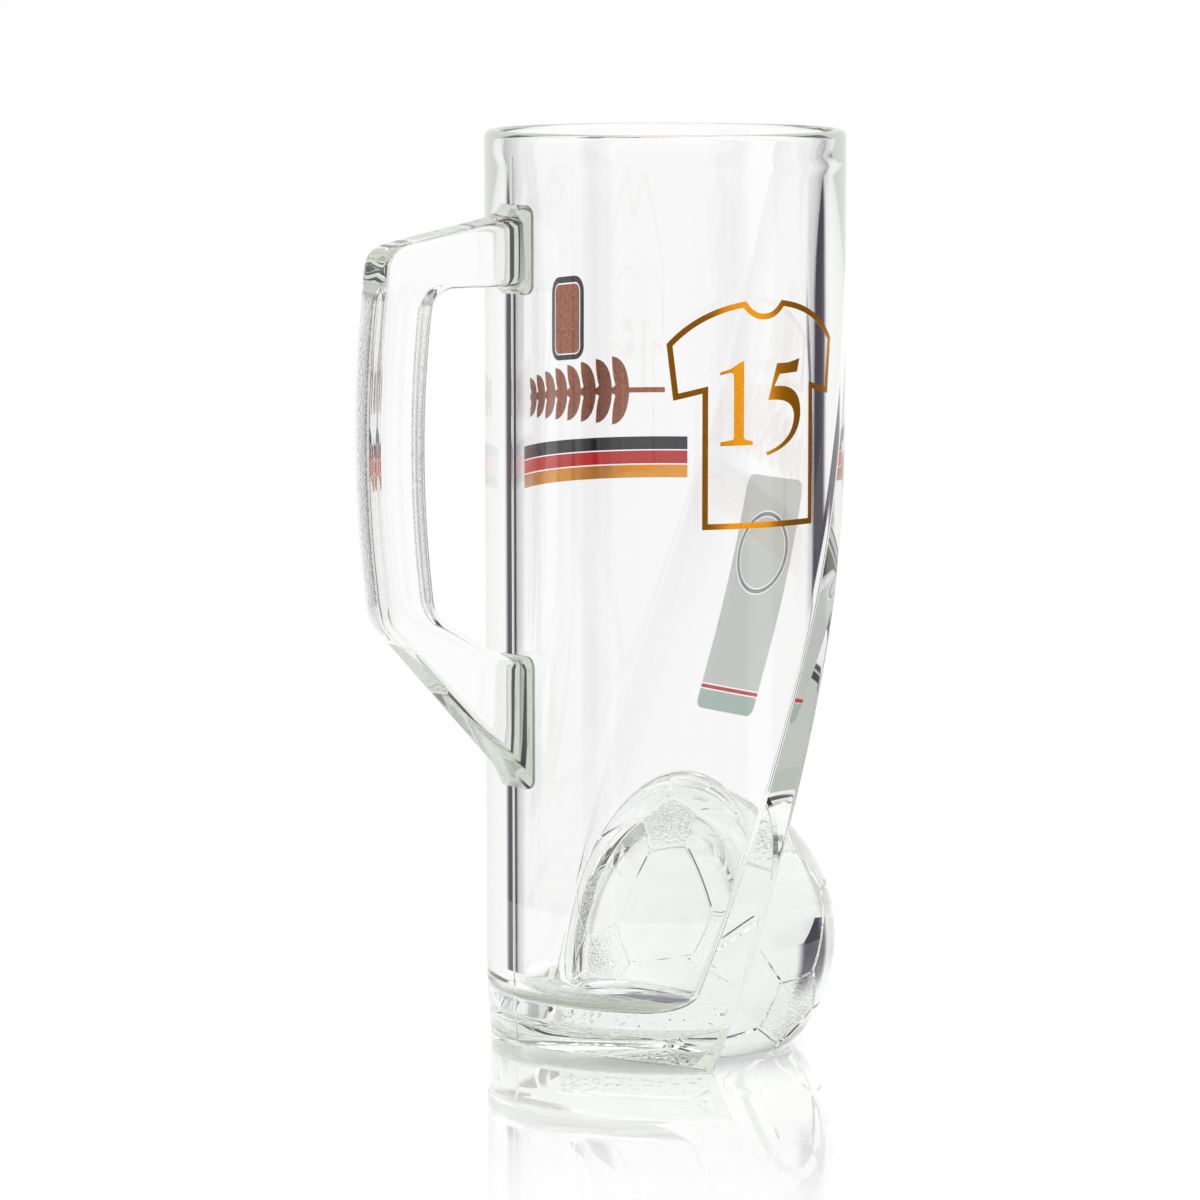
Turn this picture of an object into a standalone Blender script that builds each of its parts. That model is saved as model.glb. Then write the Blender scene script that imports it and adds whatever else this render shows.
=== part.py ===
# A tall pressed-glass beer mug: a round tapering body with one long ramp facet, an angular side handle,
# a solid glass football at the foot of the ramp, and fired-on colours on the walls and on the ramp.
# Metres, +Z up. The origin is on the body's axis, on the surface that the mug stands on.
# The handle is on the -X side and the ramp with its football on the +X side.
import math

import bmesh
import bpy
from mathutils import Matrix, Vector

# Body
RIM_HEIGHT = 0.2095
RIM_RADIUS = 0.0410
WALL_FOOT_RADIUS = 0.0406
RIM_WALL = 0.0034
WALL = 0.0068
LIP_HEIGHT = 0.0040
LIP_RUNOUT = 0.0380
FLOOR_THICKNESS = 0.0125
FLOOR_CORNER = 0.0050
FOOT_RADIUS = 0.0397
FOOT_HEIGHT = 0.0102
FOOT_STEP = 0.0004
FOOT_ROUND = 0.0008

# Ramp facet: its tip's drop below the rim, how deep the tip is cut, its lean there and below, and its foot
RAMP_TIP_DROP = 0.0055
RAMP_TIP_DEPTH = 0.0009
RAMP_TIP_LEAN = math.radians(1.0)
RAMP_LEAN = math.radians(18.6)
RAMP_FOOT_OFFSET = -0.0100
RAMP_LEDGE = 0.0006
RAMP_WALL = 0.0060
RAMP_EDGE = 0.0030
CAVITY_EDGE = 0.0025

# Football
BALL_RADIUS = 0.0360
BALL_OFFSET = 0.0039
BALL_HEIGHT = 0.0246
SEAM_WIDTH = 0.0013
SEAM_DEPTH = 0.0004

# Handle: reach of its corners from the axis, and their drops below the rim
HANDLE_WIDTH = 0.0120
GRIP_DEPTH = 0.0124
ELBOW_REACH = 0.0764
BOW_REACH = 0.0806
HEEL_REACH = 0.0762
HANDLE_DROP = 0.0180
ELBOW_DROP = 0.0247
BOW_DROP = 0.0695
HEEL_DROP = 0.1076
HANDLE_FOOT_DROP = 0.1450
UPPER_ARM_DEPTH = 0.0159
LOWER_ARM_DEPTH = 0.0260
ELBOW_ROUND = 0.0060
BOW_ROUND = 0.2500
HEEL_ROUND = 0.0090
BAR_EDGE = 0.0024
GRIP_EDGE = 0.0054
JOINT_FILLET = 0.0060

# Fired-on colours: their clearance and thickness, and the widths that they are cut into to follow the glass
CLEARANCE = 0.0003
COLOUR_THICKNESS = 0.0002
STRIP = 0.0025
RAMP_STRIP = 0.0100

# Shirt: drops below the rim, and half widths from its middle line
SHIRT_CENTRE = -0.0008
SHIRT_LINE = 0.0013
SHIRT_DROP = 0.0864
SHIRT_HALF_BODY = 0.0142
ARMPIT_DROP = 0.0560
SLEEVE_UNDER_HALF = 0.0208
SLEEVE_UNDER_DROP = 0.0575
SLEEVE_TIP_HALF = 0.0222
SLEEVE_TIP_DROP = 0.0460
SHOULDER_HALF = 0.0155
SHOULDER_DROP = 0.0387
COLLAR_HALF = 0.0050
COLLAR_DROP = 0.0373
COLLAR_DIP_DROP = 0.0401
ONE_LEFT = -0.0116
ONE_FOOT_DROP = 0.0685
ONE_WIDTH = 0.0080
ONE_HEIGHT = 0.0188
FIVE_LEFT = -0.0002
FIVE_FOOT_DROP = 0.0710
FIVE_WIDTH = 0.0102
FIVE_HEIGHT = 0.0212

# Far side: stripes, barley ear and badge
STRIPE_LENGTH = 0.0600
STRIPE_HEIGHT = 0.0030
STRIPE_DROP = 0.0729
EAR_LENGTH = 0.0480
EAR_HALF_HEIGHT = 0.0080
EAR_STEM = 0.0012
EAR_DROP = 0.0620
EAR_GRAINS = 8
BADGE_CENTRE = 0.0050
BADGE_WIDTH = 0.0120
BADGE_HEIGHT = 0.0175
BADGE_DROP = 0.0456
BADGE_CORNER = 0.0030
BADGE_LINE = 0.0012

# Label on the ramp: its rise above the football, and its ring's rise above the label's foot
LABEL_CENTRE = -0.0055
LABEL_WIDTH = 0.0216
LABEL_RISE = 0.0150
LABEL_HEIGHT = 0.0534
LABEL_BAND = 0.0042
LABEL_RULE = 0.0008
RING_RISE = 0.0361
RING_RADIUS = 0.0093
RING_LINE = 0.0009

# Mesh fineness
CHORD_STEPS = 4
EDGE_STEPS = 5
ARC_STEPS = 26
BEND_STEPS = 9
STRAIGHT_STEPS = 6
RIM_STEPS = 6
CORNER_STEPS = 3
SEAM_STEPS = 3
ROUND_STEPS = 4


def wall_radius(z):
    return WALL_FOOT_RADIUS + (RIM_RADIUS - WALL_FOOT_RADIUS) * z / RIM_HEIGHT


def below_lip(z):
    # How far the wall has thickened from the lip's to its full thickness, from 0 to 1
    share = (RIM_HEIGHT - LIP_HEIGHT - z) / LIP_RUNOUT
    share = min(1.0, max(0.0, share))
    return share * (2 - share)


def cavity_radius(z):
    return wall_radius(z) - RIM_WALL - (WALL - RIM_WALL) * below_lip(z)


def below_rim(drop):
    return RIM_HEIGHT - drop


# The ramp's side line: an arc that leaves the tip at its own lean and runs into the straight lower part
RAMP_TIP_HEIGHT = below_rim(RAMP_TIP_DROP)
RAMP_TIP_X = wall_radius(RAMP_TIP_HEIGHT) - RAMP_TIP_DEPTH
RAMP_MEET = (RAMP_TIP_X - RAMP_FOOT_OFFSET - math.tan(RAMP_TIP_LEAN) * RAMP_TIP_HEIGHT) / (
    math.tan(RAMP_LEAN) - math.tan(RAMP_TIP_LEAN)
)
RAMP_TANGENT = (RAMP_TIP_HEIGHT - RAMP_MEET) / math.cos(RAMP_TIP_LEAN)
RAMP_BEND_END = RAMP_MEET - RAMP_TANGENT * math.cos(RAMP_LEAN)
RAMP_BEND_RADIUS = RAMP_TANGENT / math.tan((RAMP_LEAN - RAMP_TIP_LEAN) / 2)


def ramp_lean(z):
    if z <= RAMP_BEND_END:
        return RAMP_LEAN
    rise = RAMP_TIP_HEIGHT - z
    return math.asin(math.sin(RAMP_TIP_LEAN) + rise / RAMP_BEND_RADIUS)


def ramp_x(z):
    if z <= RAMP_BEND_END:
        return RAMP_FOOT_OFFSET + math.tan(RAMP_LEAN) * z
    return RAMP_TIP_X - RAMP_BEND_RADIUS * (math.cos(RAMP_TIP_LEAN) - math.cos(ramp_lean(z)))


def cavity_flat(z):
    tip_wall = RAMP_TIP_X - cavity_radius(RAMP_TIP_HEIGHT)
    share = min(1.0, (RAMP_TIP_HEIGHT - z) / LIP_RUNOUT)
    wall = tip_wall + (RAMP_WALL / math.cos(RAMP_LEAN) - tip_wall) * share * (2 - share)
    return ramp_x(z) - wall


def cut_circle(radius, flat, edge):
    # A circle cut by the line x = flat, its two corners rounded, counter-clockwise from the line's middle
    edge_x = flat - edge
    edge_y = math.sqrt((radius - edge) ** 2 - edge_x**2)
    turn = math.atan2(edge_y, edge_x)
    half = [(flat, edge_y * i / CHORD_STEPS) for i in range(CHORD_STEPS + 1)]
    for i in range(1, EDGE_STEPS + 1):
        angle = turn * i / EDGE_STEPS
        half.append((edge_x + edge * math.cos(angle), edge_y + edge * math.sin(angle)))
    for i in range(1, ARC_STEPS + 1):
        angle = turn + (math.pi - turn) * i / ARC_STEPS
        half.append((radius * math.cos(angle), radius * math.sin(angle)))
    return half + [(x, -y) for x, y in reversed(half[1:-1])]


def full_circle(radius, like):
    # A circle with its points in the same directions as those of a cut circle
    return [tuple(Vector(point).normalized() * radius) for point in like]


def finish_object(name, bm, colour, roughness, metallic=0.0, clear=False):
    bmesh.ops.recalc_face_normals(bm, faces=bm.faces)
    if bm.calc_volume(signed=True) < 0:
        bmesh.ops.reverse_faces(bm, faces=bm.faces)
    mesh = bpy.data.meshes.new(name)
    bm.to_mesh(mesh)
    bm.free()
    mesh.shade_smooth()
    mesh.set_sharp_from_angle(angle=math.radians(35))
    material = bpy.data.materials.new(name)
    material.use_nodes = True
    shader = material.node_tree.nodes["Principled BSDF"]
    shader.inputs["Base Color"].default_value = (*colour, 1.0)
    shader.inputs["Roughness"].default_value = roughness
    shader.inputs["Metallic"].default_value = metallic
    shader.inputs["Transmission Weight"].default_value = 1.0 if clear else 0.0
    mesh.materials.append(material)
    piece = bpy.data.objects.new(name, mesh)
    bpy.context.collection.objects.link(piece)
    return piece


def loft(rings):
    # Joins closed rings of equal count in order, and closes the first and the last
    bm = bmesh.new()
    rows = [[bm.verts.new(point) for point in ring] for ring in rings]
    for low, high in zip(rows, rows[1:]):
        for i in range(len(low)):
            bm.faces.new((low[i - 1], low[i], high[i], high[i - 1]))
    bm.faces.new(rows[0])
    bm.faces.new(rows[-1])
    return bm


GLASS = (0.90, 0.94, 0.90)


def make_body():
    def lifted(points, z):
        return [(x, y, z) for x, y in points]

    def outer(z, radius):
        return lifted(cut_circle(radius, ramp_x(z), RAMP_EDGE), z)

    def inner(z, inset=0.0):
        return lifted(cut_circle(cavity_radius(z) - inset, cavity_flat(z) - inset, CAVITY_EDGE), z)

    rings = [lifted(cut_circle(FOOT_RADIUS - FOOT_ROUND, ramp_x(0) - FOOT_ROUND, RAMP_EDGE), 0.0)]
    rings.append(outer(FOOT_ROUND, FOOT_RADIUS))
    rings.append(outer(FOOT_HEIGHT, wall_radius(FOOT_HEIGHT) - FOOT_STEP))
    shoulder = FOOT_HEIGHT + FOOT_STEP
    for i in range(STRAIGHT_STEPS):
        z = shoulder + (RAMP_BEND_END - shoulder) * i / STRAIGHT_STEPS
        rings.append(outer(z, wall_radius(z)))
    for i in range(BEND_STEPS + 1):
        z = RAMP_BEND_END + (RAMP_TIP_HEIGHT - RAMP_BEND_END) * i / BEND_STEPS
        rings.append(outer(z, wall_radius(z)))

    tip = cut_circle(wall_radius(RAMP_TIP_HEIGHT), RAMP_TIP_X, RAMP_EDGE)
    ledge = RAMP_TIP_HEIGHT + RAMP_LEDGE
    rings.append(lifted(full_circle(wall_radius(ledge), tip), ledge))
    lip = RIM_WALL / 2
    for i in range(RIM_STEPS + 1):
        angle = math.pi * i / RIM_STEPS
        z = RIM_HEIGHT - lip + lip * math.sin(angle)
        rings.append(lifted(full_circle(RIM_RADIUS - lip + lip * math.cos(angle), tip), z))

    rise = (RAMP_TIP_HEIGHT - RAMP_BEND_END) / BEND_STEPS
    rings.append(lifted(full_circle(cavity_radius(RAMP_TIP_HEIGHT), tip), RAMP_TIP_HEIGHT))
    for i in range(1, BEND_STEPS + 1):
        z = RAMP_TIP_HEIGHT - rise * i
        rings.append(inner(z))
    floor_top = FLOOR_THICKNESS + FLOOR_CORNER
    for i in range(1, STRAIGHT_STEPS):
        z = RAMP_BEND_END + (floor_top - RAMP_BEND_END) * i / STRAIGHT_STEPS
        rings.append(inner(z))
    for i in range(CORNER_STEPS + 1):
        angle = math.pi / 2 * i / CORNER_STEPS
        z = floor_top - FLOOR_CORNER * math.sin(angle)
        inset = FLOOR_CORNER * (1 - math.cos(angle))
        rings.append(inner(z, inset))
    finish_object("glass_body", loft(rings), GLASS, 0.03, clear=True)


def make_football():
    # Twelve pentagons and twenty hexagons: an icosahedron with its corners cut off at a third of each edge
    guide = bmesh.new()
    bmesh.ops.create_icosphere(guide, subdivisions=1, radius=1.0, matrix=Matrix.Rotation(math.pi, 4, "Z"))
    corners = {}
    for vert in guide.verts:
        for edge in vert.link_edges:
            far = edge.other_vert(vert)
            corners[vert.index, far.index] = vert.co.lerp(far.co, 1 / 3).normalized()

    def pentagon(vert):
        ring = [corners[vert.index, edge.other_vert(vert).index] for edge in vert.link_edges]
        side = vert.co.orthogonal()
        return sorted(ring, key=lambda p: math.atan2(p.dot(vert.co.cross(side)), p.dot(side)))

    def hexagon(face):
        names = [vert.index for vert in face.verts]
        pairs = zip(names, names[1:] + names[:1])
        return [corners[pair] for a, b in pairs for pair in ((a, b), (b, a))]

    panels = [pentagon(vert) for vert in guide.verts] + [hexagon(face) for face in guide.faces]
    guide.free()

    ball = bmesh.new()
    for panel in panels:
        centre = sum(panel, Vector()).normalized()
        sides = zip(panel, panel[1:] + panel[:1])
        border = [a.lerp(b, i / SEAM_STEPS) for a, b in sides for i in range(SEAM_STEPS)]
        across = (border[0] - centre).length * BALL_RADIUS
        shares = (1.0, 1.0 - SEAM_WIDTH / 2 / across, 0.5)
        depths = (SEAM_DEPTH, 0.0, 0.0)
        rows = []
        for share, depth in zip(shares, depths):
            row = [centre.lerp(point, share).normalized() * (BALL_RADIUS - depth) for point in border]
            rows.append([ball.verts.new(point) for point in row])
        middle = ball.verts.new(centre * BALL_RADIUS)
        for wide, narrow in zip(rows, rows[1:]):
            for i in range(len(wide)):
                ball.faces.new((wide[i - 1], wide[i], narrow[i], narrow[i - 1]))
        for i in range(len(border)):
            ball.faces.new((rows[-1][i - 1], rows[-1][i], middle))
    bmesh.ops.remove_doubles(ball, verts=ball.verts, dist=1e-6)
    bmesh.ops.translate(ball, verts=ball.verts, vec=(BALL_OFFSET, 0.0, BALL_HEIGHT))

    # Cut flat where it stands and where it is seated on the ramp
    seat_normal = Vector((-math.cos(RAMP_LEAN), 0.0, math.sin(RAMP_LEAN)))
    seat = Vector((RAMP_FOOT_OFFSET, 0.0, 0.0)) - seat_normal * CLEARANCE
    for point, normal in ((Vector(), Vector((0.0, 0.0, -1.0))), (seat, seat_normal)):
        every = ball.verts[:] + ball.edges[:] + ball.faces[:]
        cut = bmesh.ops.bisect_plane(
            ball, geom=every, dist=1e-7, plane_co=point, plane_no=normal, clear_outer=True
        )
        open_edges = [item for item in cut["geom_cut"] if isinstance(item, bmesh.types.BMEdge)]
        bmesh.ops.contextual_create(ball, geom=open_edges)
    finish_object("football", ball, GLASS, 0.12, clear=True)


def rounded(before, corner, after, radius, steps):
    # Points of the arc that rounds a corner of a line in the handle's plane
    before, corner, after = Vector(before), Vector(corner), Vector(after)
    to_before = (before - corner).normalized()
    to_after = (after - corner).normalized()
    half = to_before.angle(to_after) / 2
    centre = corner + (to_before + to_after).normalized() * (radius / math.sin(half))
    start = corner + to_before * (radius / math.tan(half)) - centre
    sweep = start.angle_signed(corner + to_after * (radius / math.tan(half)) - centre)
    return [centre + Matrix.Rotation(-sweep * i / steps, 2) @ start for i in range(steps + 1)]


def bar_section(depth, half_width, inner_edge, outer_edge):
    # A rounded bar's section as pairs of distance from its inner line and offset from the handle's plane
    points = []
    for edge, middle, side, begin in (
        (inner_edge, inner_edge, -1, math.pi),
        (outer_edge, depth - outer_edge, -1, math.pi * 1.5),
        (outer_edge, depth - outer_edge, 1, 0.0),
        (inner_edge, inner_edge, 1, math.pi * 0.5),
    ):
        for i in range(CORNER_STEPS + 1):
            angle = begin + math.pi / 2 * i / CORNER_STEPS
            v = side * (half_width - edge) + edge * math.sin(angle)
            points.append((middle + edge * math.cos(angle), v))
        if begin == math.pi * 1.5:
            points.append((depth, 0.0))
    return points + [(0.0, 0.0)]


def make_handle():
    def seat(z):
        return (wall_radius(z) + CLEARANCE, z)

    upper_top, lower_under = below_rim(HANDLE_DROP), below_rim(HANDLE_FOOT_DROP)
    elbow = (ELBOW_REACH, below_rim(ELBOW_DROP))
    bow = (BOW_REACH, below_rim(BOW_DROP))
    heel = (HEEL_REACH, below_rim(HEEL_DROP))
    outer_line = (seat(upper_top), elbow, bow, heel, seat(lower_under))
    upper_under = upper_top - UPPER_ARM_DEPTH
    inner_line = (
        seat(upper_under),
        (ELBOW_REACH - GRIP_DEPTH, upper_under),
        (BOW_REACH - GRIP_DEPTH, bow[1]),
        (HEEL_REACH - GRIP_DEPTH, heel[1]),
        seat(lower_under + LOWER_ARM_DEPTH),
    )

    # The fillet against the wall starts a quarter of the way round its arc, and then runs out along the arm
    fillet_start = JOINT_FILLET / 4
    fillet_length = JOINT_FILLET - fillet_start
    near = [fillet_length * i / CORNER_STEPS for i in range(CORNER_STEPS + 1)]

    def swelling(distance):
        left = max(0.0, fillet_length - distance)
        return JOINT_FILLET - math.sqrt(JOINT_FILLET**2 - left**2)

    def side_line(line):
        bends = []
        for i, radius in ((1, ELBOW_ROUND), (2, BOW_ROUND), (3, HEEL_ROUND)):
            bends.append(rounded(line[i - 1], line[i], line[i + 1], radius, ROUND_STEPS))

        def arm(start, end):
            start, end = Vector(start), Vector(end)
            return [start.lerp(end, distance / abs(end.x - start.x)) for distance in near]

        upper = arm(line[0], bends[0][0])
        lower = arm(line[4], bends[2][-1])
        return upper + bends[0] + bends[1] + bends[2] + lower[::-1]

    arm_edges = [BAR_EDGE] * len(near)
    bend_shares = [i / ROUND_STEPS for i in range(ROUND_STEPS + 1)]
    into_grip = [BAR_EDGE + (GRIP_EDGE - BAR_EDGE) * share for share in bend_shares]
    inner_edges = arm_edges + into_grip + [GRIP_EDGE] * len(bend_shares) + into_grip[::-1] + arm_edges
    bends_in_all = 3 * len(bend_shares)
    offsets = near + [fillet_length] * bends_in_all + near[::-1]

    def ring(outer, inner, inner_edge, distance, across=1.0, along=1.0):
        way = outer - inner
        grow = swelling(distance)
        depth = way.length + 2 * grow
        way.normalize()
        start = inner - way * grow
        hug = 1 - distance / fillet_length
        points = []
        for q, v in bar_section(depth, HANDLE_WIDTH / 2 + grow, inner_edge, BAR_EDGE):
            v = v * across
            place = start + way * (depth / 2 + (q - depth / 2) * along)
            wall = wall_radius(place.y) + CLEARANCE
            bulge = wall - math.sqrt(wall**2 - v**2)
            points.append((-(place.x - hug * bulge), v, place.y))
        return points

    stations = list(zip(side_line(outer_line), side_line(inner_line), inner_edges, offsets))
    rings = [ring(*station) for station in stations]
    # Both ends are closed in steps, so that they follow the round wall
    for across, along in ((0.6, 0.9), (0.2, 0.8)):
        rings.insert(0, ring(*stations[0], across, along))
        rings.append(ring(*stations[-1], across, along))
    finish_object("handle", loft(rings), GLASS, 0.03, clear=True)


def filled(points):
    # A flat plate in the plane of s and z, from one outline
    bm = bmesh.new()
    face = bm.faces.new([bm.verts.new((s, 0.0, z)) for s, z in points])
    face.normal_update()
    bmesh.ops.triangulate(bm, faces=[face])
    return bm


def framed(outer, inner):
    # A flat plate between two outlines of equal count
    bm = bmesh.new()
    far = [bm.verts.new((s, 0.0, z)) for s, z in outer]
    near = [bm.verts.new((s, 0.0, z)) for s, z in inner]
    for i in range(len(far)):
        bm.faces.new((far[i - 1], far[i], near[i], near[i - 1]))
    return bm


def on_wall(side):
    def place(s, depth, z):
        radius = wall_radius(z) + CLEARANCE + depth
        angle = side * math.pi / 2 + s / wall_radius(z)
        return (radius * math.cos(angle), radius * math.sin(angle), z)

    return place


def on_ramp(s, depth, z):
    lean = ramp_lean(z)
    out = CLEARANCE + depth
    return (ramp_x(z) + out * math.cos(lean), s, z - out * math.sin(lean))


def make_colour(name, plate, place, colour, roughness, metallic=0.0):
    # Cuts a flat plate into strips, gives it a thickness and lays it on its surface
    for axis, step in ((0, STRIP), (2, RAMP_STRIP)):
        normal = Vector((1.0, 0.0, 0.0)) if axis == 0 else Vector((0.0, 0.0, 1.0))
        places = [vert.co[axis] for vert in plate.verts]
        for i in range(math.ceil(min(places) / step), math.floor(max(places) / step) + 1):
            every = plate.verts[:] + plate.edges[:] + plate.faces[:]
            point = normal * (i * step)
            bmesh.ops.bisect_plane(plate, geom=every, dist=1e-4, plane_co=point, plane_no=normal)
    raised = bmesh.ops.extrude_face_region(plate, geom=plate.faces[:], use_keep_orig=True)
    lifted = [item for item in raised["geom"] if isinstance(item, bmesh.types.BMVert)]
    bmesh.ops.translate(plate, verts=lifted, vec=(0.0, COLOUR_THICKNESS, 0.0))
    for vert in plate.verts:
        vert.co = place(*vert.co)
    finish_object(name, plate, colour, roughness, metallic)


def offset_outline(points, distance):
    # Moves a closed outline sideways by a distance, with mitred corners
    moved = []
    for i, point in enumerate(points):
        here = Vector(point)
        before = (here - Vector(points[i - 1])).normalized().orthogonal()
        after = (Vector(points[(i + 1) % len(points)]) - here).normalized().orthogonal()
        mitre = before + after
        moved.append(tuple(here + mitre * (distance * 2 / mitre.length_squared)))
    return moved


def pulled(start, pull, end, steps):
    # Points after the start of a curve drawn towards one pull point
    points = []
    for i in range(1, steps + 1):
        t = i / steps
        low, high = Vector(start).lerp(Vector(pull), t), Vector(pull).lerp(Vector(end), t)
        points.append(tuple(low.lerp(high, t)))
    return points


def ellipse(centre, half_width, half_height, begin, end, steps):
    turns = [math.radians(begin + (end - begin) * i / steps) for i in range(steps + 1)]
    return [(centre[0] + half_width * math.cos(a), centre[1] + half_height * math.sin(a)) for a in turns]


def rounded_box(centre, width, height, corner):
    points = []
    for sx, sz, begin in ((1, 1, 0), (-1, 1, 90), (-1, -1, 180), (1, -1, 270)):
        middle = (centre[0] + sx * (width / 2 - corner), centre[1] + sz * (height / 2 - corner))
        points += ellipse(middle, corner, corner, begin, begin + 90, CORNER_STEPS)
    return points


GOLD = (0.83, 0.50, 0.10)
COPPER = (0.45, 0.20, 0.10)


def make_shirt():
    dip = (0.0, below_rim(COLLAR_DIP_DROP))
    dip_pull = (COLLAR_HALF * 0.6, dip[1])
    collar = (COLLAR_HALF, below_rim(COLLAR_DROP))
    shoulder = (SHOULDER_HALF, below_rim(SHOULDER_DROP))
    sleeve_tip = (SLEEVE_TIP_HALF, below_rim(SLEEVE_TIP_DROP))
    sleeve_under = (SLEEVE_UNDER_HALF, below_rim(SLEEVE_UNDER_DROP))
    right = [(SHIRT_HALF_BODY, below_rim(SHIRT_DROP)), (SHIRT_HALF_BODY, below_rim(ARMPIT_DROP))]
    right += [sleeve_under, sleeve_tip]
    right += pulled(sleeve_tip, shoulder, collar, 2 * ROUND_STEPS)
    right += pulled(collar, dip_pull, dip, ROUND_STEPS)
    left = [(-s, z) for s, z in reversed(right[:-1])]
    line = [(s + SHIRT_CENTRE, z) for s, z in right + left]
    plate = framed(offset_outline(line, -SHIRT_LINE / 2), offset_outline(line, SHIRT_LINE / 2))
    make_colour("shirt_outline", plate, on_wall(-1), GOLD, 0.25, 1.0)


def make_numbers():
    def scaled(points, left, drop, width, height):
        return [(left + s * width, below_rim(drop) + z * height) for s, z in points]

    # Book-face figures on a unit box: a flagged one with a foot, and a five whose bowl runs out in a tail
    stem_left, stem_right, foot_tip, foot_root, flag = 0.41, 0.71, 0.045, 0.085, 0.865
    one = [(0.0, 0.0), (1.0, 0.0), (0.98, foot_tip), (stem_right, foot_root), (stem_right, 1.0)]
    one += [(0.58, 0.975), (0.0, flag), (0.0, flag - 0.03), (stem_left, flag), (stem_left, foot_root)]
    one += [(0.02, foot_tip)]
    one_plate = filled(scaled(one, ONE_LEFT, ONE_FOOT_DROP, ONE_WIDTH, ONE_HEIGHT))
    make_colour("number_one", one_plate, on_wall(-1), GOLD, 0.25, 1.0)

    bowl_top, bowl_side, tail_under, tail_tip = (0.21, 0.725), (0.985, 0.44), (0.03, 0.0), (0.0, 0.035)
    inner_side, inner_top = (0.79, 0.40), (0.05, 0.58)
    five = [(0.285, 0.962), (0.946, 1.0), (0.87, 0.86), (0.36, 0.848), bowl_top]
    five += pulled(bowl_top, (0.98, 0.74), bowl_side, ROUND_STEPS)
    five += pulled(bowl_side, (0.98, 0.13), tail_under, ROUND_STEPS) + [tail_tip]
    five += pulled(tail_tip, (0.74, 0.13), inner_side, ROUND_STEPS)
    five += pulled(inner_side, (0.76, 0.60), inner_top, ROUND_STEPS)
    five_plate = filled(scaled(five, FIVE_LEFT, FIVE_FOOT_DROP, FIVE_WIDTH, FIVE_HEIGHT))
    make_colour("number_five", five_plate, on_wall(-1), GOLD, 0.25, 1.0)


def make_side_band():
    colours = (("black", (0.02, 0.02, 0.02), 0.0), ("red", (0.60, 0.03, 0.03), 0.0), ("gold", GOLD, 1.0))
    for i, (word, colour, metallic) in enumerate(colours):
        top = below_rim(STRIPE_DROP) - i * (STRIPE_HEIGHT + CLEARANCE)
        half = STRIPE_LENGTH / 2
        box = [(-half, top - STRIPE_HEIGHT), (half, top - STRIPE_HEIGHT), (half, top), (-half, top)]
        make_colour(f"stripe_{word}", filled(box), on_wall(1), colour, 0.3, metallic)

    # A barley ear: slanting grains in pairs along a stem that runs on as a stalk
    grain = EAR_LENGTH / (EAR_GRAINS + 2)
    start = -EAR_LENGTH / 2 + 2 * grain
    upper = [(-EAR_LENGTH / 2, EAR_STEM / 2)]
    for i in range(EAR_GRAINS):
        fall = 1 - 0.5 * i / EAR_GRAINS
        upper.append((start + i * grain, EAR_STEM / 2))
        upper.append((start + (i + 0.3) * grain, EAR_HALF_HEIGHT * fall * 0.75))
        upper.append((start + (i + 1.0) * grain, EAR_HALF_HEIGHT * fall))
        upper.append((start + (i + 0.8) * grain, EAR_STEM))
    outline = upper + [(EAR_LENGTH / 2, 0.0)] + [(s, -z) for s, z in reversed(upper)]
    ear = [(s, below_rim(EAR_DROP) + z) for s, z in outline]
    make_colour("barley_ear", filled(ear), on_wall(1), COPPER, 0.25, 1.0)

    middle = (BADGE_CENTRE, below_rim(BADGE_DROP))
    width, height = BADGE_WIDTH, BADGE_HEIGHT
    frame_box = rounded_box(middle, width, height, BADGE_CORNER)
    inset = 2 * BADGE_LINE
    inner_box = rounded_box(middle, width - inset, height - inset, BADGE_CORNER - BADGE_LINE)
    make_colour("badge_frame", framed(frame_box, inner_box), on_wall(1), (0.03, 0.03, 0.03), 0.35)
    inset += 2 * CLEARANCE
    field_corner = BADGE_CORNER - BADGE_LINE - CLEARANCE
    field_box = rounded_box(middle, width - inset, height - inset, field_corner)
    make_colour("badge_field", filled(field_box), on_wall(1), COPPER, 0.3, 1.0)


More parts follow.
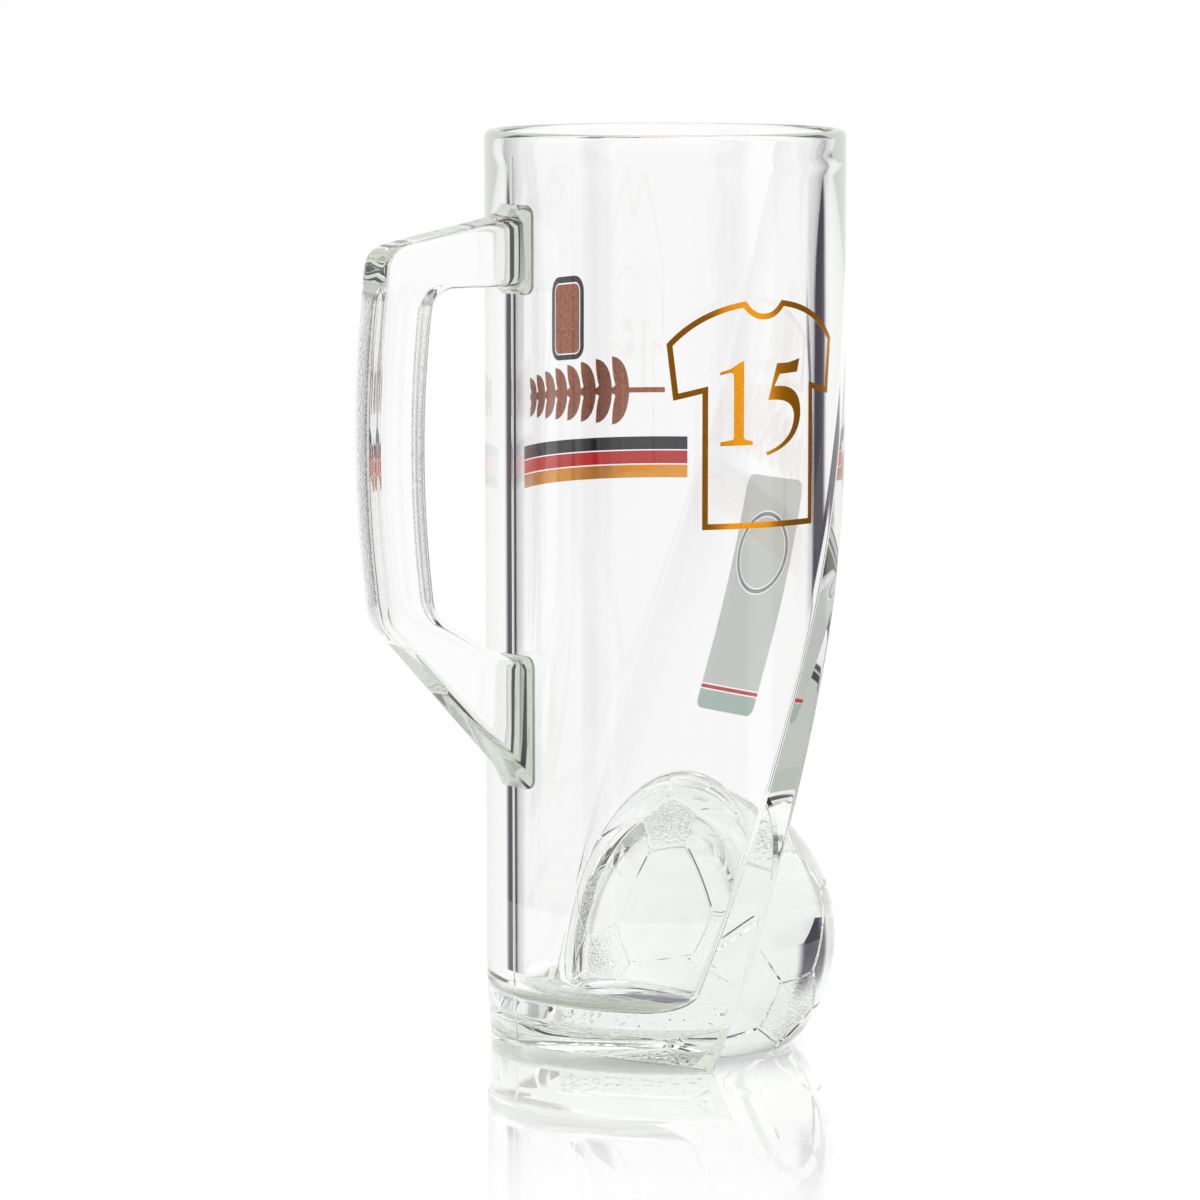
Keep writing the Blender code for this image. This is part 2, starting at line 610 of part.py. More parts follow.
def make_label():
    left, right = LABEL_CENTRE - LABEL_WIDTH / 2, LABEL_CENTRE + LABEL_WIDTH / 2

    def bar(low, high):
        return [(left, low), (right, low), (right, high), (left, high)]

    bottom = BALL_HEIGHT + BALL_RADIUS + LABEL_RISE
    top = bottom + LABEL_HEIGHT
    band_top = bottom + LABEL_BAND
    rule_low = band_top + CLEARANCE
    panel_low = rule_low + LABEL_RULE + CLEARANCE
    make_colour("label_band", filled(bar(bottom, band_top)), on_ramp, (0.10, 0.33, 0.30), 0.35)
    make_colour("label_rule", filled(bar(rule_low, rule_low + LABEL_RULE)), on_ramp, (0.45, 0.06, 0.05), 0.35)

    # The panel has a round window, with a ring and a disc in it
    middle = (LABEL_CENTRE, bottom + RING_RISE)
    turns = 4 * ROUND_STEPS

    def circle(radius):
        return ellipse(middle, radius, radius, 0, 360, turns)[:-1]

    border = []
    for i in range(turns):
        way = Vector((math.cos(2 * math.pi * i / turns), math.sin(2 * math.pi * i / turns)))
        way = way / max(abs(way.x), abs(way.y))
        room = top - middle[1] if way.y > 0 else middle[1] - panel_low
        border.append((LABEL_CENTRE + way.x * LABEL_WIDTH / 2, middle[1] + way.y * room))
    window = circle(RING_RADIUS + CLEARANCE)
    make_colour("label_panel", framed(border, window), on_ramp, (0.72, 0.74, 0.72), 0.4)
    ring_in = RING_RADIUS - RING_LINE
    ring_plate = framed(circle(RING_RADIUS), circle(ring_in))
    make_colour("label_ring", ring_plate, on_ramp, (0.12, 0.13, 0.13), 0.35)
    make_colour("label_disc", filled(circle(ring_in - CLEARANCE)), on_ramp, (0.72, 0.74, 0.72), 0.4)


for old in list(bpy.data.objects):
    bpy.data.objects.remove(old, do_unlink=True)
make_body()
make_handle()
make_football()
make_shirt()
make_numbers()
make_side_band()
make_label()
print("mug modelled:", ", ".join(sorted(piece.name for piece in bpy.data.objects)))
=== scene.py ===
import math

import bmesh
import bpy
from mathutils import Matrix, Vector


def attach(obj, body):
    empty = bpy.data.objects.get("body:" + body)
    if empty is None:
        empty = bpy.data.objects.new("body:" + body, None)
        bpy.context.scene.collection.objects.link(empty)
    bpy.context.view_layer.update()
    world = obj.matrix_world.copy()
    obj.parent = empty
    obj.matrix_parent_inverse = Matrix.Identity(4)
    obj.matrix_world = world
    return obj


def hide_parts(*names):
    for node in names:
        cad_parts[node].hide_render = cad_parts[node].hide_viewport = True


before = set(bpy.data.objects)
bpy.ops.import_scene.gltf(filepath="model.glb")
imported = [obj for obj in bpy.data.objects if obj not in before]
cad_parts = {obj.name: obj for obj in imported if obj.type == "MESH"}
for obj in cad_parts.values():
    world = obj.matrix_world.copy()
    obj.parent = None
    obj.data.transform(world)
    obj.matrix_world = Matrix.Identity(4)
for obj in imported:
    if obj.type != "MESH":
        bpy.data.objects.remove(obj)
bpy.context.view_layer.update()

mm = 0.001
print("frame loaded:", len(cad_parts), "nodes")


def hexToLinear(code):
    parts = [int(code[i:i + 2], 16) / 255 for i in (1, 3, 5)]
    return tuple(c / 12.92 if c <= 0.04045 else ((c + 0.055) / 1.055) ** 2.4 for c in parts) + (1.0,)


def addNode(tree, kind, settings=None, links=None):
    node = tree.nodes.new(kind)
    for name, value in (settings or {}).items():
        if isinstance(name, int) or name in node.inputs:
            node.inputs[name].default_value = value
        else:
            setattr(node, name, value)
    for name, socket in (links or {}).items():
        tree.links.new(socket, node.inputs[name])
    return node


def newMaterial(name):
    material = bpy.data.materials.new(name)
    material.use_nodes = True
    material.node_tree.nodes.clear()
    return material, material.node_tree


def endMaterial(tree, shader):
    addNode(tree, "ShaderNodeOutputMaterial", links={"Surface": shader.outputs[0]})


# materials: soda-lime glass pressed in a mould, and the colours fired onto it
glassLook = {
    "ior": 1.52,
    "deep": "#DFE4DD",  # what a thick section fades to: the iron's grey green
    "depth": 60 * mm,  # path in the glass at which it has faded
    "passed": "#FAFBFA",  # lamp light that came through one surface
    "trapped": "#C3C9C0",  # light that was thrown to and fro inside
    "turns": 2.5,  # reflections inside after which light counts as trapped
    "grain": 0.55 * mm,  # pitch of the stipple cut into the mould
    "grainHeight": 0.18 * mm,
}
firedLook = {
    "mottle": 0.9 * mm, "wornFrom": 0.50, "wornTo": 0.75, "wornDull": 0.15,  # patches in the lustre
    "mesh": 1.2 * mm, "meshDull": 0.1, "ior": 1.55, "shine": 0.1,  # marks of the screen in the enamel
}


def pressedGlass(name, stipple=0.0, frost=0.0, clear="#FFFFFF"):
    # soda-lime glass, fire polished: clear on thin walls, grey green along the thick ones
    material, tree = newMaterial(name)
    path = addNode(tree, "ShaderNodeLightPath")
    side = addNode(tree, "ShaderNodeNewGeometry")
    inside = addNode(tree, "ShaderNodeMath", {"operation": "MULTIPLY"},
                     {0: path.outputs["Ray Length"], 1: side.outputs["Backfacing"]})
    share = addNode(tree, "ShaderNodeMath", {"operation": "DIVIDE", "use_clamp": True, 1: glassLook["depth"]},
                    {0: inside.outputs[0]})
    tint = addNode(tree, "ShaderNodeMix", {"data_type": "RGBA", 6: hexToLinear(clear),
                                           7: hexToLinear(glassLook["deep"])}, {0: share.outputs[0]})
    shader = addNode(tree, "ShaderNodeBsdfPrincipled",
                     {"Roughness": frost, "IOR": glassLook["ior"], "Transmission Weight": 1.0},
                     {"Base Color": tint.outputs[2]})
    if stipple:  # small round dimples from a punched mould
        place = addNode(tree, "ShaderNodeTexCoord")
        dots = addNode(tree, "ShaderNodeTexVoronoi",
                       {"Scale": 1 / glassLook["grain"], "feature": "SMOOTH_F1"},
                       {"Vector": place.outputs["Object"]})
        bump = addNode(tree, "ShaderNodeBump", {"Strength": stipple, "Distance": glassLook["grainHeight"]},
                       {"Height": dots.outputs["Distance"]})
        tree.links.new(bump.outputs[0], shader.inputs["Normal"])
    # lamps shine through it, and trapped light comes out green, stained only once
    trapped = addNode(tree, "ShaderNodeMath", {"operation": "GREATER_THAN", 1: glassLook["turns"]},
                      {0: path.outputs["Glossy Depth"]})
    leaves = addNode(tree, "ShaderNodeMath", {"operation": "MAXIMUM"},
                     {0: path.outputs["Is Shadow Ray"], 1: trapped.outputs[0]})
    first = addNode(tree, "ShaderNodeMath", {"operation": "LESS_THAN", 1: 0.5},
                    {0: path.outputs["Transparent Depth"]})
    once = addNode(tree, "ShaderNodeMath", {"operation": "MULTIPLY"},
                   {0: trapped.outputs[0], 1: first.outputs[0]})
    stain = addNode(tree, "ShaderNodeMix", {"data_type": "RGBA", 6: hexToLinear(glassLook["passed"]),
                                            7: hexToLinear(glassLook["trapped"])}, {0: once.outputs[0]})
    lit = addNode(tree, "ShaderNodeBsdfTransparent", links={"Color": stain.outputs[2]})
    endMaterial(tree, addNode(tree, "ShaderNodeMixShader", {},
                              {0: leaves.outputs[0], 1: shader.outputs[0], 2: lit.outputs[0]}))
    return material


def fusedSeat(name, colour):
    # two lumps of one pressing run into each other: no surface shows, only the green of thick glass
    material, tree = newMaterial(name)
    endMaterial(tree, addNode(tree, "ShaderNodeBsdfTransparent", {"Color": hexToLinear(colour)}))
    return material


def firedMetal(name, colour, worn, roughness):
    # metal lustre fired onto glass: a bright skin, finely mottled by the screen and the kiln
    material, tree = newMaterial(name)
    place = addNode(tree, "ShaderNodeTexCoord")
    mottle = addNode(tree, "ShaderNodeTexNoise", {"Scale": 1 / firedLook["mottle"], "Detail": 3.0},
                     {"Vector": place.outputs["Object"]})
    share = addNode(tree, "ShaderNodeMapRange",
                    {"From Min": firedLook["wornFrom"], "From Max": firedLook["wornTo"]},
                    {"Value": mottle.outputs[0]})
    skin = addNode(tree, "ShaderNodeMix", {"data_type": "RGBA", 6: hexToLinear(colour), 7: hexToLinear(worn)},
                   {0: share.outputs[0]})
    dull = addNode(tree, "ShaderNodeMapRange",
                   {"To Min": roughness, "To Max": roughness + firedLook["wornDull"]},
                   {"Value": mottle.outputs[0]})
    endMaterial(tree, addNode(tree, "ShaderNodeBsdfPrincipled", {"Metallic": 1.0},
                              {"Base Color": skin.outputs[2], "Roughness": dull.outputs[0]}))
    return material


def firedEnamel(name, colour, thin, roughness):
    # screen-printed glass enamel: flat colour, a little thinner in the mesh of the screen, with a low shine
    material, tree = newMaterial(name)
    place = addNode(tree, "ShaderNodeTexCoord")
    mesh = addNode(tree, "ShaderNodeTexNoise", {"Scale": 1 / firedLook["mesh"], "Detail": 2.0},
                   {"Vector": place.outputs["Object"]})
    skin = addNode(tree, "ShaderNodeMix", {"data_type": "RGBA", 6: hexToLinear(colour), 7: hexToLinear(thin)},
                   {0: mesh.outputs[0]})
    dull = addNode(tree, "ShaderNodeMapRange",
                   {"To Min": roughness, "To Max": roughness + firedLook["meshDull"]},
                   {"Value": mesh.outputs[0]})
    endMaterial(tree, addNode(tree, "ShaderNodeBsdfPrincipled",
                              {"IOR": firedLook["ior"], "Specular IOR Level": firedLook["shine"]},
                              {"Base Color": skin.outputs[2], "Roughness": dull.outputs[0]}))
    return material


clearGlass = pressedGlass("sodaLimeGlassFirePolished")
stippledGlass = pressedGlass("sodaLimeGlassStippledMould", 1.0, 0.06)
frostedGlass = pressedGlass("sodaLimeGlassFrostedGrip", 0.25, 0.3)
undersideGlass = pressedGlass("sodaLimeGlassRoughUnderside", 0.25, 0.3, "#BFC6B6")
footGlass = pressedGlass("sodaLimeGlassThickFoot", clear="#DCE1D4")
fusedGlass = fusedSeat("sodaLimeGlassFusedSeat", "#FFFFFF")
fusedJoint = fusedSeat("sodaLimeGlassFusedJoint", "#D2D8CE")
goldLustre = firedMetal("goldLustreFired", "#F2A019", "#D98A3C", 0.16)
copperLustre = firedMetal("copperLustreFired", "#A8603C", "#7A4028", 0.2)
blackEnamel = firedEnamel("blackEnamelFired", "#101214", "#1B2026", 0.2)
redEnamel = firedEnamel("redEnamelFired", "#E8241E", "#D81E18", 0.2)
whiteEnamel = firedEnamel("whiteEnamelFired", "#F5F6F2", "#EDEFEA", 0.3)
tealEnamel = firedEnamel("tealEnamelFired", "#CFE3DC", "#C4D9D2", 0.3)
greyEnamel = firedEnamel("greyEnamelFired", "#A8B1B3", "#9CA5A8", 0.3)
print("materials made")


# the glass body: a tapering round wall with one long ramp down its side, all sizes in millimetres
body = {
    "rimHeight": 209.5, "rimRadius": 41.0, "wallFoot": 40.6, "rimWall": 3.4, "wall": 6.8, "lipHeight": 4.0,
    "lipRunout": 38.0, "floor": 12.5, "floorCorner": 5.0,
    "floorWave": 0.25, "waveTurn": 1.9,  # how uneven the plunger left the floor
    "footRadius": 39.7, "footHeight": 10.2, "footStep": 0.4, "footRound": 0.8,
    "tipHeight": 204.0, "tipDepth": 0.9, "tipLean": math.radians(1.0), "lean": math.radians(18.6),
    "rampFoot": -10.0, "rampWall": 6.0, "edge": 3.0, "cavityEdge": 2.5, "ledge": 0.6,
    "seam": 0.12, "seamHalf": 0.25,  # the ridge where the mould's halves met
    "chordSteps": 10, "edgeSteps": 12, "arcSteps": 130, "bendSteps": 50, "straightSteps": 30,
    "footSteps": 8, "riseSteps": 5, "shoulderSteps": 4, "ledgeSteps": 4, "lipSteps": 14,
    "floorCornerSteps": 9, "floorSteps": 10,
    "sharpFrom": 32.0,  # degrees at which an edge of the glass is drawn sharp
}


def wallRadius(z):
    return body["wallFoot"] + (body["rimRadius"] - body["wallFoot"]) * z / body["rimHeight"]


def belowLip(top, z):
    share = min(1.0, max(0.0, (top - z) / body["lipRunout"]))
    return share * (2 - share)


def cavityRadius(z):
    thicker = (body["wall"] - body["rimWall"]) * belowLip(body["rimHeight"] - body["lipHeight"], z)
    return wallRadius(z) - body["rimWall"] - thicker


tipX = wallRadius(body["tipHeight"]) - body["tipDepth"]
tipSlope, slope = math.tan(body["tipLean"]), math.tan(body["lean"])
meetZ = (tipX - body["rampFoot"] - tipSlope * body["tipHeight"]) / (slope - tipSlope)
tangent = (body["tipHeight"] - meetZ) / math.cos(body["tipLean"])
bendEnd = meetZ - tangent * math.cos(body["lean"])
bendRadius = tangent / math.tan((body["lean"] - body["tipLean"]) / 2)


def rampLean(z):
    if z <= bendEnd:
        return body["lean"]
    return math.asin(math.sin(body["tipLean"]) + (body["tipHeight"] - z) / bendRadius)


def rampX(z):
    if z <= bendEnd:
        return body["rampFoot"] + math.tan(body["lean"]) * z
    return tipX - bendRadius * (math.cos(body["tipLean"]) - math.cos(rampLean(z)))


def cavityFlat(z):
    tipWall = tipX - cavityRadius(body["tipHeight"])
    thicker = (body["rampWall"] / math.cos(body["lean"]) - tipWall) * belowLip(body["tipHeight"], z)
    return rampX(z) - tipWall - thicker


def cutCircle(radius, flat, edge, seam=0.0):
    edgeX = flat - edge
    edgeY = math.sqrt((radius - edge) ** 2 - edgeX ** 2)
    turn = math.atan2(edgeY, edgeX)
    half = [(flat, edgeY * i / body["chordSteps"]) for i in range(body["chordSteps"] + 1)]
    for i in range(1, body["edgeSteps"] + 1):
        a = turn * i / body["edgeSteps"]
        half.append((edgeX + edge * math.cos(a), edgeY + edge * math.sin(a)))
    fine = [0.012, 0.009, 0.0065, 0.0045, 0.003, 0.0015, 0.0]  # close points where the mould's halves met
    last = math.pi - 0.016
    angles = [turn + (last - turn) * i / body["arcSteps"] for i in range(1, body["arcSteps"] + 1)]
    for a in angles + [math.pi - f for f in fine]:
        ridge = seam * math.exp(-((math.pi - a) * radius / body["seamHalf"]) ** 2)
        half.append(((radius + ridge) * math.cos(a), (radius + ridge) * math.sin(a)))
    return half + [(x, -y) for x, y in reversed(half[1:-1])]


def fullCircle(radius, like):
    return [tuple(Vector(p).normalized() * radius) for p in like]


def loftMesh(name, rings, materials, slotOfRow=None):
    # joins closed rings of equal count and closes both ends, sizes in millimetres
    bm = bmesh.new()
    rows = [[bm.verts.new(Vector(p) * mm) for p in ring] for ring in rings]
    for k, (low, high) in enumerate(zip(rows, rows[1:])):
        for i in range(len(low)):
            face = bm.faces.new((low[i - 1], low[i], high[i], high[i - 1]))
            face.material_index = slotOfRow(k, i) if slotOfRow else 0
    for k, row in ((-1, rows[0]), (len(rows), rows[-1])):
        face = bm.faces.new(row)
        face.material_index = slotOfRow(k, 0) if slotOfRow else 0
    bmesh.ops.recalc_face_normals(bm, faces=bm.faces)
    mesh = bpy.data.meshes.new(name)
    bm.to_mesh(mesh)
    bm.free()
    mesh.shade_smooth()
    for material in materials:
        mesh.materials.append(material)
    piece = bpy.data.objects.new(name, mesh)
    bpy.context.collection.objects.link(piece)
    return piece


def lifted(points, z):
    return [(x, y, z) for x, y in points]


def shrunk(points, share):
    cx = sum(p[0] for p in points) / len(points)
    return [(cx + (x - cx) * share, y * share) for x, y in points]


def makeBody():
    def outer(z, radius, inset=0.0):
        return lifted(cutCircle(radius - inset, rampX(z) - inset, body["edge"], body["seam"]), z)

    def inner(z, inset=0.0):
        return lifted(cutCircle(cavityRadius(z) - inset, cavityFlat(z) - inset, body["cavityEdge"]), z)

    rings = []
    base = cutCircle(body["footRadius"] - body["footRound"], rampX(0) - body["footRound"], body["edge"])
    for share in (0.2, 0.6, 0.97, 0.995):  # underside
        rings.append(lifted(shrunk(base, share), 0.0))
    undersideRows = len(rings) - 1
    for i in range(body["footSteps"] + 1):  # rounded foot edge
        a = math.pi / 2 * i / body["footSteps"]
        z, inset = body["footRound"] * (1 - math.cos(a)), body["footRound"] * (1 - math.sin(a))
        rings.append(outer(z, body["footRadius"], inset))
    for i in range(1, body["riseSteps"] + 1):  # up the foot, which widens to the wall
        z = body["footRound"] + (body["footHeight"] - body["footRound"]) * i / body["riseSteps"]
        share = i / body["riseSteps"]
        wider = wallRadius(z) - body["footStep"] - body["footRadius"]
        rings.append(outer(z, body["footRadius"] + wider * share))
    footRows = len(rings) - 1
    shoulder = body["footHeight"] + 2 * body["footStep"]
    for i in range(1, body["shoulderSteps"] + 1):  # soft step at the mould line
        z = body["footHeight"] + 2 * body["footStep"] * i / body["shoulderSteps"]
        left = 0.5 + 0.5 * math.cos(math.pi * i / body["shoulderSteps"])
        rings.append(outer(z, wallRadius(z) - body["footStep"] * left))
    for i in range(1, body["straightSteps"]):
        z = shoulder + (bendEnd - shoulder) * i / body["straightSteps"]
        rings.append(outer(z, wallRadius(z)))
    for i in range(body["bendSteps"] + 1):
        z = bendEnd + (body["tipHeight"] - bendEnd) * i / body["bendSteps"]
        rings.append(outer(z, wallRadius(z)))
    tip = cutCircle(wallRadius(body["tipHeight"]), tipX, body["edge"])
    for i in range(1, body["ledgeSteps"] + 1):  # the ramp's short ledge under the rim
        z = body["tipHeight"] + body["ledge"] * i / body["ledgeSteps"]
        blend = 0.5 - 0.5 * math.cos(math.pi * i / body["ledgeSteps"])
        whole = fullCircle(wallRadius(z), tip)
        rings.append(lifted([tuple(Vector(p).lerp(Vector(q), blend)) for p, q in zip(tip, whole)], z))
    lip = body["rimWall"] / 2
    for i in range(body["lipSteps"] + 1):  # rounded rim
        a = math.pi * i / body["lipSteps"]
        z = body["rimHeight"] - lip + lip * math.sin(a)
        rings.append(lifted(fullCircle(body["rimRadius"] - lip + lip * math.cos(a), tip), z))
    rings.append(lifted(fullCircle(cavityRadius(body["tipHeight"]), tip), body["tipHeight"]))
    for i in range(1, body["bendSteps"] + 1):
        z = body["tipHeight"] - (body["tipHeight"] - bendEnd) * i / body["bendSteps"]
        rings.append(inner(z))
    floorTop = body["floor"] + body["floorCorner"]
    for i in range(1, body["straightSteps"]):
        z = bendEnd + (floorTop - bendEnd) * i / body["straightSteps"]
        rings.append(inner(z))
    for i in range(body["floorCornerSteps"] + 1):  # rounded corner of the floor
        a = math.pi / 2 * i / body["floorCornerSteps"]
        z = floorTop - body["floorCorner"] * math.sin(a)
        inset = body["floorCorner"] * (1 - math.cos(a))
        last = inner(z, inset)
        rings.append(last)
    for i in range(1, body["floorSteps"]):  # the floor, left wavy by the plunger
        share = 1 - i / body["floorSteps"]
        wave = body["floorWave"] * math.sin(i * body["waveTurn"]) * share
        rings.append(lifted(shrunk([p[:2] for p in last], share), body["floor"] + wave))

    def slotOfRow(k, i):  # the mould's valve leaves the underside rough, and the foot is thick glass
        return 1 if k < undersideRows else 2 if k < footRows else 0

    return loftMesh("glassBody", rings, [clearGlass, undersideGlass, footGlass], slotOfRow)


glassBody = makeBody()
print("body lofted:", len(glassBody.data.polygons), "faces")


# the handle: a rounded bar swept between its outer and inner lines, swelling into the wall at both ends
handle = {
    "width": 12.0, "gripDepth": 12.4, "upperTop": 191.5, "elbow": (76.4, 184.8), "bow": (80.6, 140.0),
    "heel": (76.2, 101.9), "lowerUnder": 64.5, "upperUnder": 175.6, "innerHeelZ": 102.4, "lowerTop": 90.5,
    "elbowRound": 6.0, "bowRound": 250.0, "heelRound": 9.0, "barEdge": 2.4, "gripEdge": 2.6,
    "fillet": 6.0, "filletShare": 0.75, "sideSwell": 0.45, "sink": 1.2,
    "roundSteps": 16, "cornerSteps": 8, "nearSteps": 10, "sideSteps": 4, "stippleSteps": 4,
}


def roundedCorner(before, corner, after, radius, steps):
    before, corner, after = Vector(before), Vector(corner), Vector(after)
    toBefore = (before - corner).normalized()
    toAfter = (after - corner).normalized()
    half = toBefore.angle(toAfter) / 2
    centre = corner + (toBefore + toAfter).normalized() * (radius / math.sin(half))
    start = corner + toBefore * (radius / math.tan(half)) - centre
    sweep = start.angle_signed(corner + toAfter * (radius / math.tan(half)) - centre)
    return [centre + Matrix.Rotation(-sweep * i / steps, 2) @ start for i in range(steps + 1)]


def barSection(depth, halfWidth, innerEdge, outerEdge):
    # pairs of distance from the inner line and offset from the handle's plane
    quarters = (
        (innerEdge, innerEdge, -1, math.pi),
        (outerEdge, depth - outerEdge, -1, math.pi * 1.5),
        (outerEdge, depth - outerEdge, 1, 0.0),
        (innerEdge, innerEdge, 1, math.pi * 0.5),
    )
    corners = []
    for edge, middle, side, begin in quarters:
        arc = []
        for i in range(handle["cornerSteps"] + 1):
            a = begin + math.pi / 2 * i / handle["cornerSteps"]
            arc.append((middle + edge * math.cos(a), side * (halfWidth - edge) + edge * math.sin(a)))
        corners.append(arc)
    points = []
    for k, arc in enumerate(corners):
        points += arc
        following = corners[(k + 1) % 4][0]
        for i in range(1, handle["sideSteps"]):
            points.append(tuple(Vector(arc[-1]).lerp(Vector(following), i / handle["sideSteps"])))
    return points


def makeHandle():
    def seat(z):
        return (wallRadius(z), z)

    def behind(corner, z):
        return (corner[0] - handle["gripDepth"], z)

    elbow, bow, heel = handle["elbow"], handle["bow"], handle["heel"]
    outerLine = (seat(handle["upperTop"]), elbow, bow, heel, seat(handle["lowerUnder"]))
    innerLine = (seat(handle["upperUnder"]), behind(elbow, handle["upperUnder"]), behind(bow, bow[1]),
                 behind(heel, handle["innerHeelZ"]), seat(handle["lowerTop"]))
    filletLength = handle["fillet"] * handle["filletShare"]
    near = [filletLength * i / handle["nearSteps"] for i in range(handle["nearSteps"] + 1)]

    def swelling(distance):
        left = max(0.0, filletLength - distance)
        return handle["fillet"] - math.sqrt(handle["fillet"] ** 2 - left ** 2)

    def arm(start, end):
        return [Vector(start).lerp(Vector(end), d / abs(end[0] - start[0])) for d in near]

    def sideLine(line):
        bends = []
        for i, radius in ((1, handle["elbowRound"]), (2, handle["bowRound"]), (3, handle["heelRound"])):
            bends.append(roundedCorner(line[i - 1], line[i], line[i + 1], radius, handle["roundSteps"]))
        upper, lower = arm(line[0], bends[0][0]), arm(line[4], bends[2][-1])
        return upper + bends[0] + bends[1] + bends[2] + lower[::-1]

    bendShares = [i / handle["roundSteps"] for i in range(handle["roundSteps"] + 1)]
    ease = [0.5 - 0.5 * math.cos(math.pi * s) for s in bendShares]
    intoGrip = [handle["barEdge"] + (handle["gripEdge"] - handle["barEdge"]) * s for s in ease]
    alongArm, alongGrip = [handle["barEdge"]] * len(near), [handle["gripEdge"]] * len(ease)
    innerEdges = alongArm + intoGrip + alongGrip + intoGrip[::-1] + alongArm
    offsets = near + [filletLength] * (3 * len(ease)) + near[::-1]

    def ring(outer, inner, innerEdge, distance, across=1.0, along=1.0, sink=0.0):
        way = outer - inner
        grow = swelling(distance)
        depth = way.length + 2 * grow
        way.normalize()
        start = inner - way * grow
        hug = 1 - distance / filletLength
        points = []
        halfWidth = handle["width"] / 2 + grow * handle["sideSwell"]
        for q, v in barSection(depth, halfWidth, innerEdge, handle["barEdge"]):
            v = v * across
            place = start + way * (depth / 2 + (q - depth / 2) * along)
            wall = wallRadius(place.y)
            points.append((-(place.x - sink - hug * (wall - math.sqrt(wall ** 2 - v ** 2))), v, place.y))
        return points

    stations = list(zip(sideLine(outerLine), sideLine(innerLine), innerEdges, offsets))
    rings = [ring(*s) for s in stations]
    ends = ((1.0, 1.0), (0.6, 0.9), (0.2, 0.8))  # both ends run on into the wall and close in steps
    for across, along in ends:
        rings.insert(0, ring(*stations[0], across, along, handle["sink"]))
        rings.append(ring(*stations[-1], across, along, handle["sink"]))
    sunk = len(ends)
    perSide = handle["cornerSteps"] + handle["sideSteps"]
    gripFrom = sunk + len(near) + handle["roundSteps"] // 2
    gripTo = sunk + len(near) + 2 * len(ease) + handle["roundSteps"] // 2

    def slotOfRow(k, i):
        if k < sunk or k >= sunk + len(stations) - 1:
            return 1
        innerFrom = 4 * perSide - handle["sideSteps"] - handle["stippleSteps"]
        innerSide = i <= handle["stippleSteps"] or i > innerFrom
        return 2 if innerSide and gripFrom <= k < gripTo else 0

    return loftMesh("sideHandle", rings, [clearGlass, fusedJoint, frostedGlass], slotOfRow)


sideHandle = makeHandle()
print("handle swept:", len(sideHandle.data.polygons), "faces")


# the football: a truncated icosahedron rounded out, with pressed seams and stippled pentagons
ballDims = {
    "turn": (163.5, 67.1, 89.5),  # how its panels are turned, in degrees
    "cornerCut": 27.0, "cuts": 9,  # percent cut off each corner, and how finely the panels are divided
    "radius": 36.0, "offset": 3.95, "height": 24.6, "seam": 0.6, "seamDepth": 0.5,
    "sink": 1.2, "footRound": 1.6, "fillet": 2.0, "filletSteps": 8,
}


def filletGrowth(k):
    return ballDims["fillet"] * (1 - math.cos(math.pi / 2 * k / ballDims["filletSteps"]))


